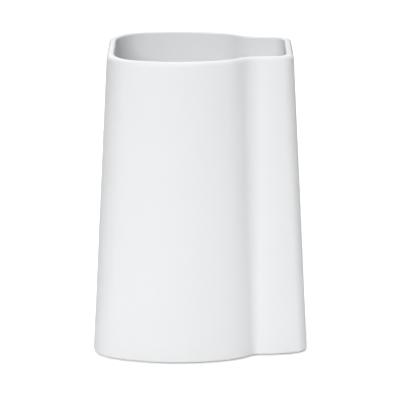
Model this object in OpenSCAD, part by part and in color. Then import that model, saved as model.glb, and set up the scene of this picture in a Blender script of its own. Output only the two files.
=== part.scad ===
// Pen holder cup with a large and a small lobe.
// A tapered sleeve, wider at the foot, is closed from below by a floor plate
// that snaps into a rebate. A non-slip pad lies in the plate's underside.
// Every horizontal section is the mouth outline, offset outward by the draft,
// with the corners beside the two flat ends kept at the same radius.
// Origin: centre of the resting face. +X is the small lobe, -Y is the front.

/* [Overall size] */
// Height from the resting face to the rim
height = 110; // [90:1:130]
// Outside width across both lobes at the rim
mouth_w = 66.2; // [65:0.2:70]
// Outward slope of the walls, from the rim down to the foot
draft_deg = 3.1; // [2.5:0.1:3.5]

/* [Large lobe at the rim] */
// Half length of the flat outer end
large_flat = 12; // [11.5:0.5:13]
// Radius of the corner beside the flat end, the same from the rim to the foot
large_corner_r = 12; // [11:0.5:13]
// Radius of the broad front and back
large_front_r = 55; // [52:1:58]
// Half of the angle that the broad front turns through
large_front_deg = 17.5; // [17:0.5:18]
// Radius of the shoulder that turns into the valley
shoulder_r = 18; // [16.5:0.5:19]

/* [Small lobe at the rim] */
// Half length of the flat outer end
small_flat = 12; // [11.5:0.5:12.5]
// Radius of the corner beside the flat end, the same from the rim to the foot
small_corner_r = 5; // [4:0.5:6]
// Radius of the front and back
small_front_r = 38; // [36:1:42]
// Angle that the small corner turns through
small_corner_deg = 80; // [79:0.5:81]

/* [Valley between the lobes] */
// Outside radius of the valley at the rim, which the draft makes tighter towards the foot
valley_r = 10.4; // [9.6:0.2:11]

/* [Wall] */
// Wall thickness at the rim
wall_rim = 2.6; // [2.4:0.1:3]
// Wall thickness at the foot
wall_foot = 3.8; // [3.6:0.1:4.2]
// Rounding of the rim's outer edge
rim_outer_r = 1.5; // [0.8:0.1:1.6]
// Rounding of the rim's inner edge
rim_inner_r = 0.7; // [0.4:0.1:0.8]
// Rounding of the foot's outer edge
foot_r = 0.8; // [0.5:0.1:1.5]

/* [Floor] */
// Thickness of the floor plate
plate_t = 3.2; // [2.8:0.1:4]
// Width of the ledge that the plate rests against
ledge_w = 1.4; // [1:0.1:1.4]
// Gap between the plate's edge and the rebate
plate_gap = 0.15; // [0.1:0.05:0.2]
// Height of the snap bead around the plate's edge
bead_out = 0.4; // [0.3:0.05:0.5]

/* [Non-slip pad] */
// Thickness of the pad
pad_t = 2; // [1.5:0.1:2.4]
// How far the pad stands proud of the foot
foot_gap = 0.6; // [0.4:0.1:1]
// Depth of the recess that holds the pad
recess_depth = 0.6; // [0.5:0.1:0.8]
// Distance from the foot's outer edge to the pad
pad_inset = 5; // [4.8:0.1:8]

/* [Hidden] */
// Steps along each arc of half an outline
CORNER_STEPS = 7;
FRONT_STEPS = 8;
SHOULDER_STEPS = 4;
VALLEY_STEPS = 7;
SMALL_FRONT_STEPS = 4;
// Steps of each rounded edge and of each tall wall face
ROUND_STEPS = 4;
WALL_STEPS = 7;

// Heights
plate_z = pad_t - recess_depth;
floor_z = plate_z + plate_t;
bead_z = plate_z + 0.6 * plate_t;
bead_half = 0.5;
// Pad and recess
recess_gap = 0.15;

// Centres of the arcs of the mouth outline, front half
half_w = mouth_w / 2;
front_end = -90 + large_front_deg;
front_c = [-half_w + large_corner_r, -large_flat]
    + (large_corner_r - large_front_r) * ray(-90 - large_front_deg);
shoulder_c = front_c + (large_front_r - shoulder_r) * ray(front_end);
small_front_c = [half_w - small_corner_r, -small_flat]
    + (small_corner_r - small_front_r) * ray(-small_corner_deg);

// Centre of the valley circle, which touches the shoulder and the small front
valley_span = small_front_c - shoulder_c;
valley_gap = norm(valley_span);
valley_along = (valley_gap ^ 2 + (shoulder_r + valley_r) ^ 2 - (small_front_r + valley_r) ^ 2)
    / (2 * valley_gap);
valley_across = sqrt((shoulder_r + valley_r) ^ 2 - valley_along ^ 2);
valley_u = valley_span / valley_gap;
valley_c = shoulder_c + valley_along * valley_u + valley_across * [valley_u.y, -valley_u.x];
valley_start = heading(valley_c - shoulder_c);
valley_end = heading(valley_c - small_front_c);

// Unit vector at an angle
function ray(a) = [cos(a), sin(a)];

// Angle of a vector
function heading(v) = atan2(v.y, v.x);

// Points on an arc, from one angle up to but not including the other
function arc(c, r, from, to, steps) =
    [for (i = [0 : steps - 1]) c + r * ray(from + (to - from) * i / steps)];

// Centre, at a given x, of a circle of radius r that touches a front circle from inside
function inside(c, front_r, r, x) = [x, c.y - sqrt((front_r - r) ^ 2 - (x - c.x) ^ 2)];

// Front half of the mouth outline, grown by a distance
function front_half(grow) =
    let (front_r = large_front_r + grow,
         small_r = small_front_r + grow,
         left_c = inside(front_c, front_r, large_corner_r, -half_w - grow + large_corner_r),
         left_end = heading(left_c - front_c),
         right_c = inside(small_front_c, small_r, small_corner_r, half_w + grow - small_corner_r),
         right_end = heading(right_c - small_front_c))
    concat(
        arc(left_c, large_corner_r, -180, left_end, CORNER_STEPS),
        arc(front_c, front_r, left_end, front_end, FRONT_STEPS),
        arc(shoulder_c, shoulder_r + grow, front_end, valley_start, SHOULDER_STEPS),
        arc(valley_c, grow - valley_r, valley_start, valley_end, VALLEY_STEPS),
        arc(small_front_c, small_r, valley_end, right_end, SMALL_FRONT_STEPS),
        arc(right_c, small_corner_r, right_end, 0, CORNER_STEPS),
        [right_c + small_corner_r * ray(0)]
    );

// Whole closed outline: the front half, then its mirror image
function outline(grow) =
    let (half = front_half(grow), last = len(half) - 1)
    concat(half, [for (i = [last : -1 : 0]) [half[i].x, -half[i].y]]);

// Outward offset of the shell's outer face at a height
function draft_at(z) = (height - z) * tan(draft_deg);

// Wall thickness at a height
function wall_at(z) = wall_rim + (wall_foot - wall_rim) * (height - z) / (height - foot_gap);

// Outline at a height, a depth inside the shell's outer face
function section(z, depth) = [for (p = outline(draft_at(z) - depth)) [p.x, p.y, z]];

// Outline at a height that follows the foot's outline without the draft
function foot_outline(depth) = outline(draft_at(foot_gap) - depth);
function foot_section(z, depth) = [for (p = foot_outline(depth)) [p.x, p.y, z]];

// Joins ring after ring; open stacks are capped, closed ones meet themselves
module skin(rings, closed = false) {
    n = len(rings[0]);
    m = len(rings);
    spans = closed ? m : m - 1;
    sides = [for (j = [0 : spans - 1], i = [0 : n - 1])
        [j * n + i, ((j + 1) % m) * n + i,
         ((j + 1) % m) * n + (i + 1) % n, j * n + (i + 1) % n]];
    caps = closed ? [] : [
        [for (i = [0 : n - 1]) i],
        [for (i = [n - 1 : -1 : 0]) (m - 1) * n + i]
    ];
    polyhedron([for (ring = rings) each ring], concat(sides, caps), convexity = 6);
}

module shell() {
    rebate = wall_at(floor_z) - ledge_w;
    foot_round = [for (i = [0 : ROUND_STEPS])
        let (a = -90 + 90 * i / ROUND_STEPS)
        section(foot_gap + foot_r + foot_r * sin(a), foot_r - foot_r * cos(a))];
    outer_face = [for (i = [1 : WALL_STEPS - 1])
        let (low = foot_gap + foot_r, high = height - rim_outer_r)
        section(low + (high - low) * i / WALL_STEPS, 0)];
    rim_outer = [for (i = [0 : ROUND_STEPS])
        let (a = 90 * i / ROUND_STEPS)
        section(height - rim_outer_r + rim_outer_r * sin(a),
                rim_outer_r - rim_outer_r * cos(a))];
    rim_inner = [for (i = [0 : ROUND_STEPS])
        let (a = 90 - 90 * i / ROUND_STEPS)
        section(height - rim_inner_r + rim_inner_r * sin(a),
                wall_rim - rim_inner_r + rim_inner_r * cos(a))];
    inner_face = [for (i = [1 : WALL_STEPS])
        let (high = height - rim_inner_r, z = high + (floor_z - high) * i / WALL_STEPS)
        section(z, wall_at(z))];
    rebate_face = [
        foot_section(floor_z, rebate),
        foot_section(bead_z + bead_half + bead_out, rebate),
        foot_section(bead_z + bead_half, rebate - bead_out),
        foot_section(bead_z - bead_half, rebate - bead_out),
        foot_section(bead_z - bead_half - bead_out, rebate),
        foot_section(foot_gap, rebate)
    ];
    color([0.93, 0.93, 0.935])
        skin(concat(foot_round, outer_face, rim_outer, rim_inner, inner_face,
                    rebate_face), closed = true);
}

module floor_plate() {
    edge = wall_at(floor_z) - ledge_w + plate_gap;
    recess = pad_inset - recess_gap;
    recess_top = plate_z + recess_depth;
    edge_break = 0.3;
    rings = [
        foot_section(recess_top, recess),
        foot_section(plate_z, recess),
        foot_section(plate_z, edge + edge_break),
        foot_section(plate_z + edge_break, edge),
        foot_section(bead_z - bead_half - bead_out / 2, edge),
        foot_section(bead_z - bead_half / 2, edge - bead_out / 2),
        foot_section(bead_z + bead_half / 2, edge - bead_out / 2),
        foot_section(bead_z + bead_half + bead_out / 2, edge),
        foot_section(floor_z, edge)
    ];
    color([0.90, 0.90, 0.905])
        skin(rings);
}

module non_slip_pad() {
    color([0.55, 0.56, 0.57])
        linear_extrude(pad_t)
            polygon(foot_outline(pad_inset));
}

shell();
floor_plate();
non_slip_pad();
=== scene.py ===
"""Pen holder cup: a tapered two-lobed sleeve, the floor plate that closes it and its non-slip pad."""

import math

import bpy
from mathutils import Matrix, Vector


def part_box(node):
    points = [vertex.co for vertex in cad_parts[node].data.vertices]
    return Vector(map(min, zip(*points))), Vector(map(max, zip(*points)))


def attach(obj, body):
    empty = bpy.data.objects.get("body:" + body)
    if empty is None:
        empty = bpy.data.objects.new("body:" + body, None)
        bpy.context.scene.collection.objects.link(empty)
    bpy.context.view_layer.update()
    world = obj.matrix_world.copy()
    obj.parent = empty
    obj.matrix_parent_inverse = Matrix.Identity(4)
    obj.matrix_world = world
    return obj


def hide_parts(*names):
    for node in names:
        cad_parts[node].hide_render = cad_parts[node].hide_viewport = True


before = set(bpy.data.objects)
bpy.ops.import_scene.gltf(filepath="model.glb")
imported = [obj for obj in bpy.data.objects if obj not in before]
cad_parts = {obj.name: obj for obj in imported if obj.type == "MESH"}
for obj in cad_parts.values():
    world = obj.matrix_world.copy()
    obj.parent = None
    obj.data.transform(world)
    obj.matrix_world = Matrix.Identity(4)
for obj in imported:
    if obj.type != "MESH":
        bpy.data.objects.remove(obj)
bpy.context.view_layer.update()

MM = 0.001

# ---- Where the pieces are, from the frame --------------------------------------------------------

shell_lo, shell_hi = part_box("shell")
plate_lo, plate_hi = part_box("floor_plate")
pad_lo, pad_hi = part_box("non_slip_pad")
FOOT_Z = shell_lo.z
RIM_Z = shell_hi.z
FLOOR_Z = plate_hi.z
# The snap bead sits a little above the middle of the plate's edge
BEAD_Z = plate_lo.z + 0.6 * (plate_hi.z - plate_lo.z)

# ---- The design's own sizes ----------------------------------------------------------------------

# Slope of the walls, outward from the rim to the foot
DRAFT = math.tan(math.radians(3.1))
WALL_RIM = 2.6 * MM
WALL_FOOT = 3.8 * MM
RIM_OUTER_R = 1.5 * MM
RIM_INNER_R = 0.7 * MM
FOOT_R = 0.8 * MM
LEDGE_W = 1.4 * MM
PLATE_GAP = 0.15 * MM
BEAD_OUT = 0.4 * MM
BEAD_HALF = 0.5 * MM
EDGE_BREAK = 0.3 * MM
PAD_INSET = 5 * MM
PAD_EDGE_R = 0.4 * MM
RECESS_GAP = 0.15 * MM

# Outline of the mouth. The half width follows from the widest place, just above the foot's rounding.
HALF_W = shell_hi.x - (RIM_Z - FOOT_Z - FOOT_R) * DRAFT
LARGE_FLAT = 12 * MM
LARGE_CORNER_R = 12 * MM
LARGE_FRONT_R = 55 * MM
LARGE_FRONT_DEG = 17.5
SHOULDER_R = 18 * MM
SMALL_FLAT = 12 * MM
SMALL_CORNER_R = 5 * MM
SMALL_FRONT_R = 38 * MM
SMALL_CORNER_DEG = 80
VALLEY_R = 10.4 * MM

# Fineness of the meshes
FLAT_STEPS = 12
CORNER_STEPS = 22
FRONT_STEPS = 30
SHOULDER_STEPS = 14
VALLEY_STEPS = 20
SMALL_FRONT_STEPS = 12
ROUND_STEPS = 12
WALL_STEPS = 30
# Edges sharper than this stay crisp
SHARP_DEG = 32


# ---- Outline: the same construction as the CAD part ----------------------------------------------

def ray(deg):
    """Unit vector at an angle."""
    return Vector((math.cos(math.radians(deg)), math.sin(math.radians(deg))))


def heading(v):
    """Angle of a vector, in degrees."""
    return math.degrees(math.atan2(v.y, v.x))


FRONT_END = -90 + LARGE_FRONT_DEG
FRONT_C = (
    Vector((LARGE_CORNER_R - HALF_W, -LARGE_FLAT))
    + (LARGE_CORNER_R - LARGE_FRONT_R) * ray(-90 - LARGE_FRONT_DEG)
)
SHOULDER_C = FRONT_C + (LARGE_FRONT_R - SHOULDER_R) * ray(FRONT_END)
SMALL_FRONT_C = (
    Vector((HALF_W - SMALL_CORNER_R, -SMALL_FLAT))
    + (SMALL_CORNER_R - SMALL_FRONT_R) * ray(-SMALL_CORNER_DEG)
)


def touching(a, a_r, b, b_r, r):
    """Centre of the circle of radius r that touches two others from outside, in front of them."""
    gap = (b - a).length
    along = (gap ** 2 + (a_r + r) ** 2 - (b_r + r) ** 2) / (2 * gap)
    across = math.sqrt((a_r + r) ** 2 - along ** 2)
    u = (b - a) / gap
    return a + along * u + across * Vector((u.y, -u.x))


VALLEY_C = touching(SHOULDER_C, SHOULDER_R, SMALL_FRONT_C, SMALL_FRONT_R, VALLEY_R)
VALLEY_START = heading(VALLEY_C - SHOULDER_C)
VALLEY_END = heading(VALLEY_C - SMALL_FRONT_C)


def arc(centre, r, start, end, steps):
    """Points on an arc, without its last one."""
    return [centre + r * ray(start + (end - start) * i / steps) for i in range(steps)]


def line(a, b, steps):
    """Points on a straight line, without its last one."""
    return [a.lerp(b, i / steps) for i in range(steps)]


def inside(centre, front_r, r, x):
    """Centre, at a given x, of a circle of radius r that touches a front circle from inside."""
    return Vector((x, centre.y - math.sqrt((front_r - r) ** 2 - (x - centre.x) ** 2)))


def front_half(grow):
    """Front half of the mouth outline, grown by a distance."""
    front_r, small_r = LARGE_FRONT_R + grow, SMALL_FRONT_R + grow
    left_c = inside(FRONT_C, front_r, LARGE_CORNER_R, LARGE_CORNER_R - HALF_W - grow)
    left_end = heading(left_c - FRONT_C)
    right_c = inside(SMALL_FRONT_C, small_r, SMALL_CORNER_R, HALF_W + grow - SMALL_CORNER_R)
    right_end = heading(right_c - SMALL_FRONT_C)
    left = left_c + LARGE_CORNER_R * ray(180)
    right = right_c + SMALL_CORNER_R * ray(0)
    return (
        line(Vector((left.x, 0)), left, FLAT_STEPS)
        + arc(left_c, LARGE_CORNER_R, -180, left_end, CORNER_STEPS)
        + arc(FRONT_C, front_r, left_end, FRONT_END, FRONT_STEPS)
        + arc(SHOULDER_C, SHOULDER_R + grow, FRONT_END, VALLEY_START, SHOULDER_STEPS)
        + arc(VALLEY_C, grow - VALLEY_R, VALLEY_START, VALLEY_END, VALLEY_STEPS)
        + arc(SMALL_FRONT_C, small_r, VALLEY_END, right_end, SMALL_FRONT_STEPS)
        + arc(right_c, SMALL_CORNER_R, right_end, 0, CORNER_STEPS)
        + line(right, Vector((right.x, 0)), FLAT_STEPS)
        + [Vector((right.x, 0))]
    )


def outline(grow):
    """Whole closed outline: the front half, then its mirror image."""
    half = front_half(grow)
    return half + [Vector((p.x, -p.y)) for p in reversed(half[1:-1])]


def wall_at(z):
    """Wall thickness at a height."""
    return WALL_RIM + (WALL_FOOT - WALL_RIM) * (RIM_Z - z) / (RIM_Z - FOOT_Z)


def section(z, depth):
    """Ring at a height, a depth inside the shell's outer face."""
    return [(p.x, p.y, z) for p in outline((RIM_Z - z) * DRAFT - depth)]


def foot_section(z, depth):
    """Ring at a height, a depth inside the foot's outline, without the draft."""
    return [(p.x, p.y, z) for p in outline((RIM_Z - FOOT_Z) * DRAFT - depth)]


# ---- Meshes --------------------------------------------------------------------------------------

def new_piece(name, verts, faces, node, slot):
    """Makes a smooth piece that rides on the root body and stands for a CAD node."""
    mesh = bpy.data.meshes.new(name)
    mesh.from_pydata(verts, [], faces)
    mesh.validate()
    mesh.shade_smooth()
    mesh.set_sharp_from_angle(angle=math.radians(SHARP_DEG))
    piece = bpy.data.objects.new(name, mesh)
    bpy.context.scene.collection.objects.link(piece)
    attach(piece, "root")
    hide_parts(node)
    return piece


def skin(rings, closed=False):
    """Vertices and faces of a stack of rings. A closed stack meets itself, an open one is capped."""
    n = len(rings[0])
    m = len(rings)
    verts = [p for ring in rings for p in ring]
    faces = []
    for j in range(m if closed else m - 1):
        low, high = j * n, (j + 1) % m * n
        faces += [(low + i, low + (i + 1) % n, high + (i + 1) % n, high + i) for i in range(n)]
    if not closed:
        faces.append(tuple(reversed(range(n))))
        faces.append(tuple(range((m - 1) * n, m * n)))
    return verts, faces


def steps(count, first=0):
    """Fractions from first / count up to 1."""
    return [i / count for i in range(first, count + 1)]


def make_shell():
    """The sleeve: up the outer face, over the rim, down the inner face and round the rebate."""
    rebate = wall_at(FLOOR_Z) - LEDGE_W
    foot_top = FOOT_Z + FOOT_R
    outer_top = RIM_Z - RIM_OUTER_R
    inner_top = RIM_Z - RIM_INNER_R
    rings = []
    for t in steps(ROUND_STEPS):
        a = math.radians(-90 + 90 * t)
        rings.append(section(foot_top + FOOT_R * math.sin(a), FOOT_R - FOOT_R * math.cos(a)))
    for t in steps(WALL_STEPS, 1)[:-1]:
        rings.append(section(foot_top + (outer_top - foot_top) * t, 0))
    for t in steps(ROUND_STEPS):
        a = math.radians(90 * t)
        rings.append(section(outer_top + RIM_OUTER_R * math.sin(a),
                             RIM_OUTER_R - RIM_OUTER_R * math.cos(a)))
    for t in steps(ROUND_STEPS):
        a = math.radians(90 - 90 * t)
        rings.append(section(inner_top + RIM_INNER_R * math.sin(a),
                             WALL_RIM - RIM_INNER_R + RIM_INNER_R * math.cos(a)))
    for t in steps(WALL_STEPS, 1):
        z = inner_top + (FLOOR_Z - inner_top) * t
        rings.append(section(z, wall_at(z)))
    for z, depth in (
        (FLOOR_Z, rebate),
        (BEAD_Z + BEAD_HALF + BEAD_OUT, rebate),
        (BEAD_Z + BEAD_HALF, rebate - BEAD_OUT),
        (BEAD_Z - BEAD_HALF, rebate - BEAD_OUT),
        (BEAD_Z - BEAD_HALF - BEAD_OUT, rebate),
        (FOOT_Z, rebate),
    ):
        rings.append(foot_section(z, depth))
    return new_piece("shell_skin", *skin(rings, closed=True), "shell", "shell_white")


def make_floor():
    """The plate that snaps into the rebate, with the pad's recess in its underside."""
    edge = wall_at(FLOOR_Z) - LEDGE_W + PLATE_GAP
    recess = PAD_INSET - RECESS_GAP
    rings = [
        foot_section(pad_hi.z, recess),
        foot_section(plate_lo.z, recess),
        foot_section(plate_lo.z, edge + EDGE_BREAK),
        foot_section(plate_lo.z + EDGE_BREAK, edge),
        foot_section(BEAD_Z - BEAD_HALF - BEAD_OUT / 2, edge),
        foot_section(BEAD_Z - BEAD_HALF / 2, edge - BEAD_OUT / 2),
        foot_section(BEAD_Z + BEAD_HALF / 2, edge - BEAD_OUT / 2),
        foot_section(BEAD_Z + BEAD_HALF + BEAD_OUT / 2, edge),
        foot_section(plate_hi.z, edge),
    ]
    return new_piece("floor", *skin(rings), "floor_plate", "floor_white")


def make_pad():
    """The non-slip pad, with a softened lower edge."""
    rings = []
    for t in steps(ROUND_STEPS):
        a = math.radians(90 * t)
        rings.append(foot_section(pad_lo.z + PAD_EDGE_R - PAD_EDGE_R * math.cos(a),
                                  PAD_INSET + PAD_EDGE_R - PAD_EDGE_R * math.sin(a)))
    rings.append(foot_section(pad_hi.z, PAD_INSET))
    return new_piece("grip_pad", *skin(rings), "non_slip_pad", "pad_grey")


# ---- Materials -----------------------------------------------------------------------------------

class Nodes:
    """A small helper that builds one procedural material."""

    def __init__(self, name):
        self.material = bpy.data.materials.new(name)
        self.material.use_nodes = True
        self.tree = self.material.node_tree
        self.bsdf = self.tree.nodes["Principled BSDF"]
        self.place = self.new("ShaderNodeTexCoord").outputs["Object"]

    def new(self, kind, **values):
        """Adds a node and sets its properties."""
        node = self.tree.nodes.new(kind)
        for key, value in values.items():
            setattr(node, key, value)
        return node

    def link(self, source, target):
        self.tree.links.new(source, target)

    def noise(self, size, detail=3.0, roughness=0.5):
        """Noise whose blobs are about a given size across."""
        node = self.new("ShaderNodeTexNoise")
        node.inputs["Scale"].default_value = 1 / size
        node.inputs["Detail"].default_value = detail
        node.inputs["Roughness"].default_value = roughness
        self.link(self.place, node.inputs["Vector"])
        return node.outputs["Fac"]

    def spread(self, source, low, high, start=0.0, end=1.0):
        """Maps a value from start..end to low..high."""
        node = self.new("ShaderNodeMapRange")
        self.link(source, node.inputs["Value"])
        for name, value in (("From Min", start), ("From Max", end), ("To Min", low), ("To Max", high)):
            node.inputs[name].default_value = value
        return node.outputs["Result"]

    def math(self, operation, a, b):
        """Combines two values, each a number or a socket."""
        node = self.new("ShaderNodeMath", operation=operation)
        for socket, value in zip(node.inputs, (a, b)):
            if isinstance(value, (int, float)):
                socket.default_value = value
            else:
                self.link(value, socket)
        return node.outputs[0]

    def height(self):
        """Height above the surface the cup stands on."""
        node = self.new("ShaderNodeSeparateXYZ")
        self.link(self.place, node.inputs[0])
        return node.outputs["Z"]

    def mix(self, factor, a, b):
        """Colour between a and b."""
        node = self.new("ShaderNodeMix", data_type="RGBA")
        self.link(factor, node.inputs["Factor"])
        for name, colour in (("A", a), ("B", b)):
            socket = [s for s in node.inputs if s.name == name and s.type == "RGBA"][0]
            socket.default_value = (*colour, 1)
        return [s for s in node.outputs if s.type == "RGBA"][0]

    def bump(self, layers):
        """Stacks bumps, each a height source and its depth in metres."""
        normal = None
        for source, depth in layers:
            node = self.new("ShaderNodeBump")
            node.inputs["Distance"].default_value = depth
            self.link(source, node.inputs["Height"])
            if normal:
                self.link(normal, node.inputs["Normal"])
            normal = node.outputs["Normal"]
        self.link(normal, self.bsdf.inputs["Normal"])


def moulded_plastic(name, colour, dusty, roughness, grain):
    """Satin moulded plastic: spark-eroded grain, slow waviness, the rim worn a little smoother and the
    foot scuffed a little rougher and duller.
    """
    foot_worn_h = 2 * MM
    cloud_size, speck_size, mottle_size, wave_size = 18 * MM, 1.6 * MM, 0.9 * MM, 32 * MM
    wave_depth, grain_depth = 0.05 * MM, 0.006 * MM
    n = Nodes(name)
    n.bsdf.inputs["IOR"].default_value = 1.58
    z = n.height()
    rim_wear = n.spread(z, 0, 1, RIM_Z - RIM_OUTER_R, RIM_Z)
    foot_wear = n.spread(z, 1, 0, FOOT_Z, FOOT_Z + foot_worn_h)
    cloud = n.noise(cloud_size, detail=4)
    specks = n.spread(n.noise(speck_size, detail=5, roughness=0.65), 0, 1, 0.56, 0.72)
    scuffs = n.math("MULTIPLY", foot_wear, specks)
    tone = n.math("ADD", n.spread(cloud, 0, 0.35, 0.3, 0.7), n.math("MULTIPLY", scuffs, 0.8))
    n.link(n.mix(tone, colour, dusty), n.bsdf.inputs["Base Color"])
    rough = n.math("ADD", n.spread(cloud, roughness - 0.03, roughness + 0.04, 0.3, 0.7),
                   n.spread(n.noise(mottle_size), -0.03, 0.03))
    worn = n.math("ADD", n.math("MULTIPLY", rim_wear, -0.08), n.math("MULTIPLY", scuffs, 0.12))
    n.link(n.math("ADD", rough, worn), n.bsdf.inputs["Roughness"])
    n.bump([
        (n.noise(wave_size, detail=1), wave_depth),
        (n.noise(grain, detail=2), grain_depth),
    ])
    return n.material


def soft_rubber(name, colour, dusty):
    """Matt elastomer with a fine open grain and a little dust."""
    cloud_size, grain_size = 9 * MM, 0.35 * MM
    cloud_depth, grain_depth = 0.02 * MM, 0.03 * MM
    n = Nodes(name)
    n.bsdf.inputs["IOR"].default_value = 1.5
    cloud = n.noise(cloud_size, detail=4)
    grain = n.noise(grain_size, detail=3)
    n.link(n.mix(n.spread(cloud, 0, 1, 0.35, 0.75), colour, dusty), n.bsdf.inputs["Base Color"])
    n.link(n.spread(grain, 0.72, 0.88), n.bsdf.inputs["Roughness"])
    n.bump([(cloud, cloud_depth), (grain, grain_depth)])
    return n.material


# ---- Studio --------------------------------------------------------------------------------------

# The table is overexposed to the camera, like the white page around the photographed cup
TABLE_ALBEDO = 0.9
TABLE_SEEN_ALBEDO = 1.5
TABLE_HALF = 0.6
LIGHT_DISTANCE = 4
# Sides of the square softboxes
SMALL_BOX, LARGE_BOX, HUGE_BOX = 0.93, 2.1, 2.7
CAMERA_DISTANCE = 0.8063
CAMERA_TILT = math.radians(17.2)
CAMERA_TARGET = Vector((-0.0001, 0, 0.0522))
LENS_MM = 198


def camera_only(tree):
    """1 where the camera looks straight at a surface, 0 for light that reaches the cup."""
    return tree.nodes.new("ShaderNodeLightPath").outputs["Is Camera Ray"]


def make_world():
    """Plain studio air: white to the camera, and no light of its own on the cup."""
    world = bpy.data.worlds.new("studio")
    world.use_nodes = True
    tree = world.node_tree
    air = tree.nodes["Background"]
    air.inputs["Color"].default_value = (1, 1, 1, 1)
    tree.links.new(camera_only(tree), air.inputs["Strength"])
    bpy.context.scene.world = world


def make_table():
    """A plain white table top."""
    mesh = bpy.data.meshes.new("table_top")
    corners = [(x * TABLE_HALF, y * TABLE_HALF, pad_lo.z) for x, y in ((-1, -1), (1, -1), (1, 1), (-1, 1))]
    mesh.from_pydata(corners, [], [(0, 1, 2, 3)])
    table = bpy.data.objects.new("table_top", mesh)
    bpy.context.scene.collection.objects.link(table)
    material = bpy.data.materials.new("table_white")
    material.use_nodes = True
    tree = material.node_tree
    tree.nodes.remove(tree.nodes["Principled BSDF"])
    exposure = tree.nodes.new("ShaderNodeMapRange")
    tree.links.new(camera_only(tree), exposure.inputs["Value"])
    exposure.inputs["To Min"].default_value = TABLE_ALBEDO
    exposure.inputs["To Max"].default_value = TABLE_SEEN_ALBEDO
    matt = tree.nodes.new("ShaderNodeBsdfDiffuse")
    tree.links.new(exposure.outputs["Result"], matt.inputs["Color"])
    tree.links.new(matt.outputs[0], tree.nodes["Material Output"].inputs["Surface"])
    table.data.materials.append(material)


def softbox(name, azimuth, elevation, size, power):
    """An area light that looks at the cup. Azimuth 0 is the front, 90 the small lobe's side."""
    a, e = math.radians(azimuth), math.radians(elevation)
    away = Vector((math.sin(a) * math.cos(e), -math.cos(a) * math.cos(e), math.sin(e)))
    light = bpy.data.lights.new(name, "AREA")
    light.size = size
    light.energy = power
    lamp = bpy.data.objects.new(name, light)
    lamp.location = Vector((0, 0, RIM_Z / 2)) + LIGHT_DISTANCE * away
    lamp.rotation_mode = "QUATERNION"
    lamp.rotation_quaternion = away.to_track_quat("Z", "Y")
    bpy.context.scene.collection.objects.link(lamp)


def make_lights():
    """A key with two fills in front, one softbox overhead and four behind."""
    softbox("key", -8, 25, SMALL_BOX, 64)
    softbox("fill_left", -28, 25, SMALL_BOX, 29)
    softbox("fill_right", 12, 25, SMALL_BOX, 10)
    softbox("overhead", 0, 88, LARGE_BOX, 58)
    softbox("top_rear", 180, 70, LARGE_BOX, 21)
    softbox("rear_left", -155, 25, LARGE_BOX, 26)
    softbox("rear_right", 130, 30, HUGE_BOX, 22)
    softbox("rear", 180, 40, HUGE_BOX, 44)


def make_camera():
    """Nearly level with the cup and far off, with a long lens."""
    data = bpy.data.cameras.new("camera")
    data.sensor_width = 36
    data.lens = LENS_MM
    data.clip_start, data.clip_end = 0.05, 20
    camera = bpy.data.objects.new("camera", data)
    away = Vector((0, -math.cos(CAMERA_TILT), math.sin(CAMERA_TILT)))
    camera.location = CAMERA_TARGET + CAMERA_DISTANCE * away
    camera.rotation_euler = (math.radians(90) - CAMERA_TILT, 0, 0)
    bpy.context.scene.collection.objects.link(camera)
    bpy.context.scene.camera = camera


# ---- Build ---------------------------------------------------------------------------------------

shell_white = moulded_plastic(
    "moulded_white", (0.868, 0.875, 0.884), (0.85, 0.855, 0.86), roughness=0.5, grain=0.45 * MM
)
floor_white = moulded_plastic(
    "moulded_floor", (0.82, 0.825, 0.83), (0.77, 0.77, 0.76), roughness=0.5, grain=0.6 * MM
)
pad_grey = soft_rubber("soft_grey", (0.27, 0.275, 0.28), (0.34, 0.34, 0.335))

make_shell().data.materials.append(shell_white)
make_floor().data.materials.append(floor_white)
make_pad().data.materials.append(pad_grey)

make_world()
make_table()
make_lights()
make_camera()
bpy.context.scene.view_settings.view_transform = "Standard"
